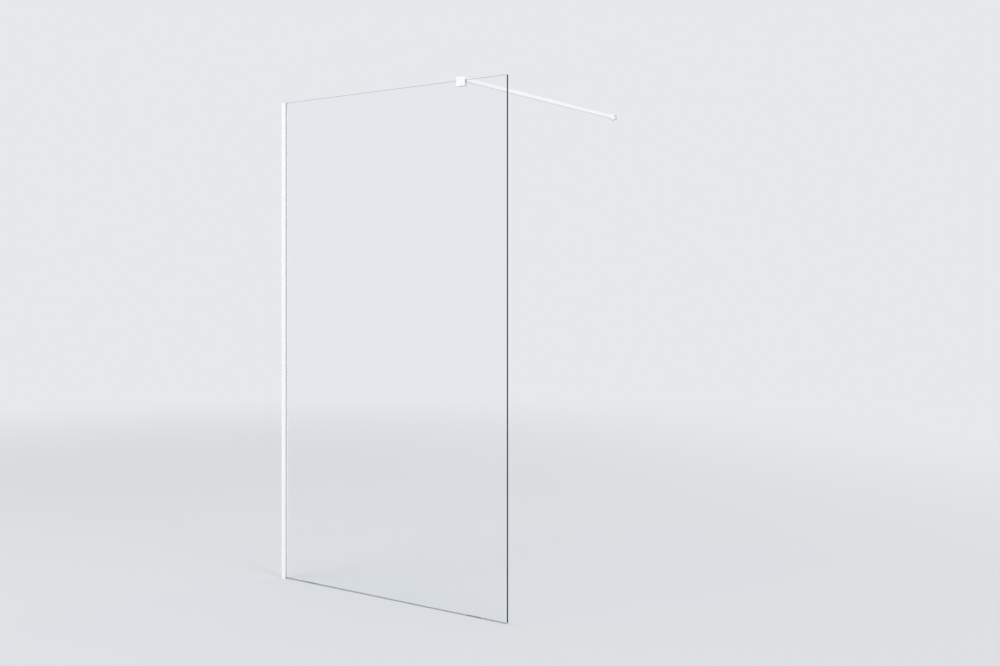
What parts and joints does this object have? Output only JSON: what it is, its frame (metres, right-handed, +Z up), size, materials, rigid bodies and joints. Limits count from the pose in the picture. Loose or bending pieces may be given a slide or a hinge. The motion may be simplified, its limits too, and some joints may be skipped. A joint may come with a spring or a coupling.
{
  "type": "walk-in shower screen",
  "caption": "Fixed clear glass shower screen held in a white wall channel, with a white square stabiliser bar that swivels between a glass clamp and a wall bracket.",
  "frame": {"origin": "foot of the wall channel, on the side wall's face, in the middle plane of the glass", "axes": "+X along the glass from the side wall to the free edge, +Y from the glass towards the wall behind that the bar is fixed to, +Z up"},
  "size_m": [1.144, 1.196, 2.019],
  "materials": {
    "white_coat": "satin",
    "white_plastic": "satin",
    "milky_gasket": "satin",
    "clear_glass": "polished",
    "clear_plastic": "satin",
    "milky_liner": "matte",
    "black_nylon": "satin",
    "steel": "satin"
  },
  "bodies": {
    "channel": {"wall_channel": "white_coat", "channel_clip_bead": "white_coat", "channel_top_cap": "white_plastic", "front_gasket": "milky_gasket", "rear_gasket": "milky_gasket"},
    "glass": {"glass_panel": "clear_glass", "glass_setting_blocks": "clear_plastic"},
    "clamp": {"clamp_body": "white_coat", "clamp_liner": "milky_liner", "clamp_pressure_plate": "steel", "clamp_grub_screws": "steel", "clamp_pivot_screw": "steel", "clamp_pivot_washers": "black_nylon"},
    "bar": {"stabiliser_bar": "white_coat", "clamp_end_insert": "white_coat", "clamp_end_bush": "black_nylon", "clamp_end_set_screw": "steel", "wall_end_knuckle": "white_coat", "wall_end_bush": "black_nylon", "wall_end_set_screw": "steel"},
    "bracket": {"wall_bracket": "white_coat", "bracket_pivot_screw": "steel", "bracket_pivot_washers": "black_nylon"}
  },
  "joints": [
    {"name": "glass_adjust", "type": "slide", "parent": "channel", "child": "glass", "axis": [1, 0, 0], "range_m": [-0.003, 0.003]},
    {"name": "clamp_slide", "type": "slide", "parent": "glass", "child": "clamp", "axis": [1, 0, 0], "range_m": [-0.4, 0.18]},
    {"name": "bar_swivel", "type": "hinge", "parent": "clamp", "child": "bar", "pos_m": [0.937, 0.0211, 2.005], "axis": [0, 0, 1], "range_deg": [-45, 45]},
    {"name": "bracket_swivel", "type": "hinge", "parent": "bar", "child": "bracket", "pos_m": [0.937, 1.167, 2.005], "axis": [0, 0, 1], "range_deg": [-45, 45]}
  ]
}
